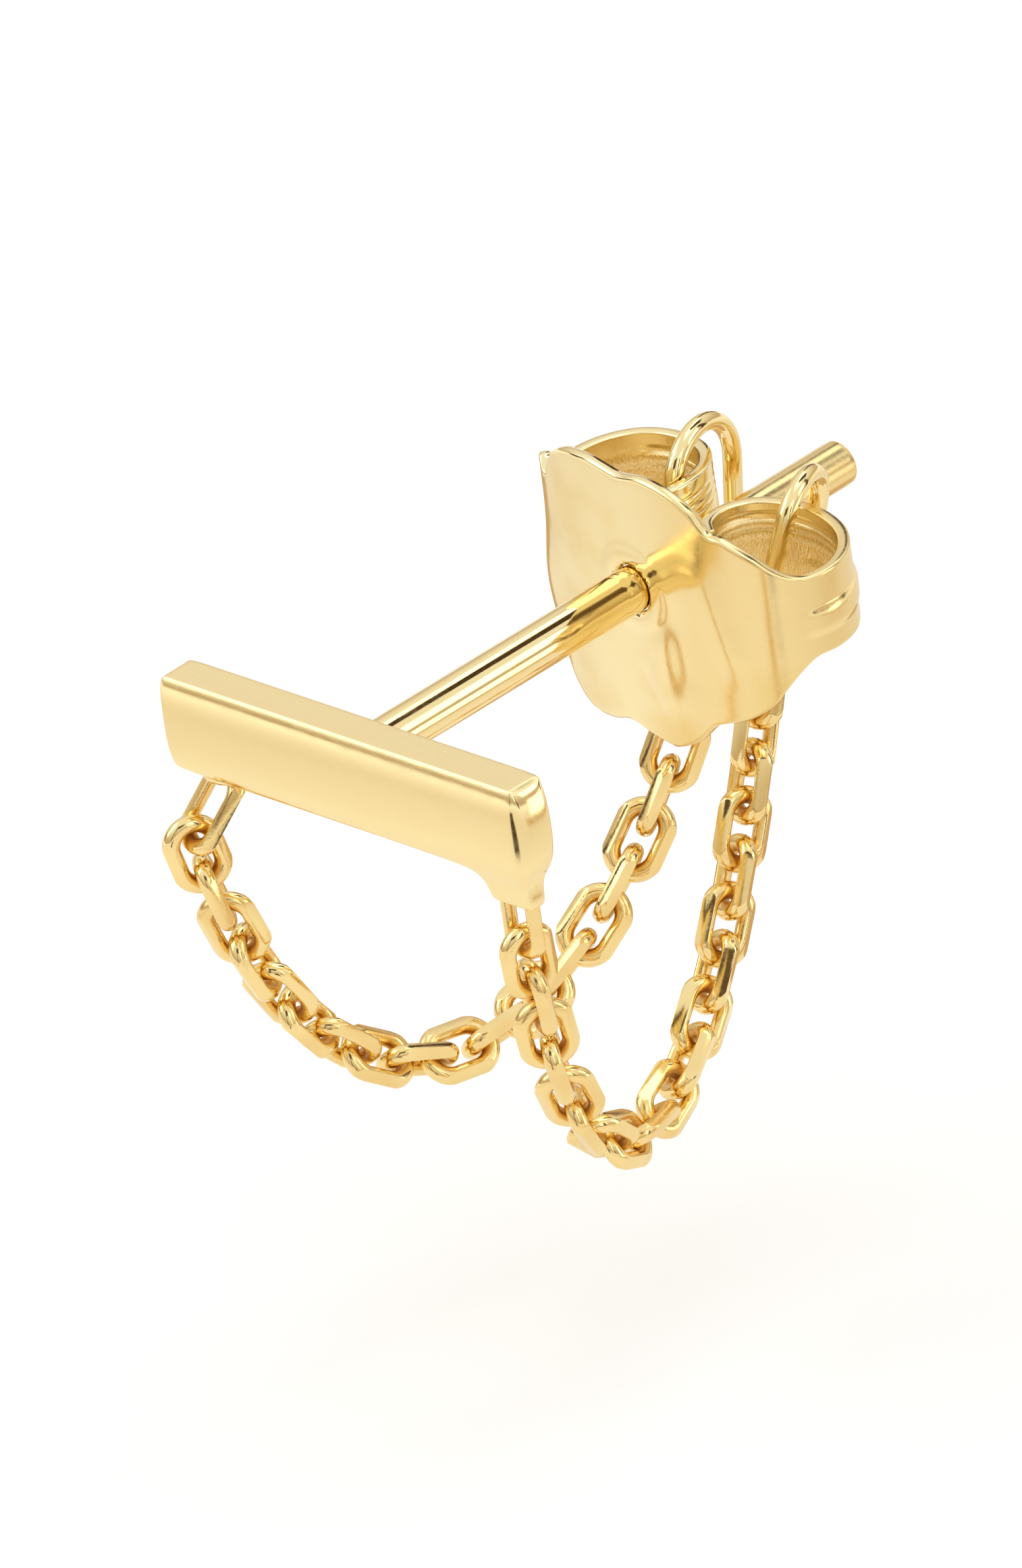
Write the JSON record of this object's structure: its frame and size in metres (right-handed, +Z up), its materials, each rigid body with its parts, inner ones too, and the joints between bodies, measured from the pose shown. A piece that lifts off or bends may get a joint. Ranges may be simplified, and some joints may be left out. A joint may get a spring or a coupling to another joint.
{
  "type": "chain drop earring",
  "caption": "Slim gold bar on a straight earring post with a butterfly back; fine cable chains hang from the bar's ends to wire rings held in the scrolls of the back.",
  "frame": {"origin": "on the axis of the post at the back face of the bar, where the earring pins on to the ear lobe", "axes": "+Y runs back along the post, +X runs along the bar to the right as seen from in front, +Z is up as worn"},
  "size_m": [0.0082, 0.0128, 0.0105],
  "materials": {
    "bar_gold": "polished yellow gold with a satin top face",
    "plate_gold": "pale polished yellow gold sheet, rougher inside the scrolls",
    "ring_gold": "polished yellow gold wire",
    "chain_gold": "diamond-cut yellow gold, darker in the crevices"
  },
  "bodies": {
    "root": {"bar_stud": "bar_gold", "butterfly_back": "plate_gold", "ring_left": "ring_gold", "ring_right": "ring_gold", "link_left_01": "chain_gold", "link_left_02": "chain_gold", "link_left_03": "chain_gold", "link_left_04": "chain_gold", "link_left_05": "chain_gold", "link_left_06": "chain_gold", "link_left_07": "chain_gold", "link_left_08": "chain_gold", "link_left_09": "chain_gold", "link_left_10": "chain_gold", "link_left_11": "chain_gold", "link_left_12": "chain_gold", "link_left_13": "chain_gold", "link_left_14": "chain_gold", "link_left_15": "chain_gold", "link_left_16": "chain_gold", "link_left_17": "chain_gold", "link_left_18": "chain_gold", "link_left_19": "chain_gold", "link_left_20": "chain_gold", "link_right_01": "chain_gold", "link_right_02": "chain_gold", "link_right_03": "chain_gold", "link_right_04": "chain_gold", "link_right_05": "chain_gold", "link_right_06": "chain_gold", "link_right_07": "chain_gold", "link_right_08": "chain_gold", "link_right_09": "chain_gold", "link_right_10": "chain_gold", "link_right_11": "chain_gold", "link_right_12": "chain_gold", "link_right_13": "chain_gold", "link_right_14": "chain_gold", "link_right_15": "chain_gold", "link_right_16": "chain_gold", "link_right_17": "chain_gold", "link_right_18": "chain_gold", "link_right_19": "chain_gold"}
  },
  "joints": []
}
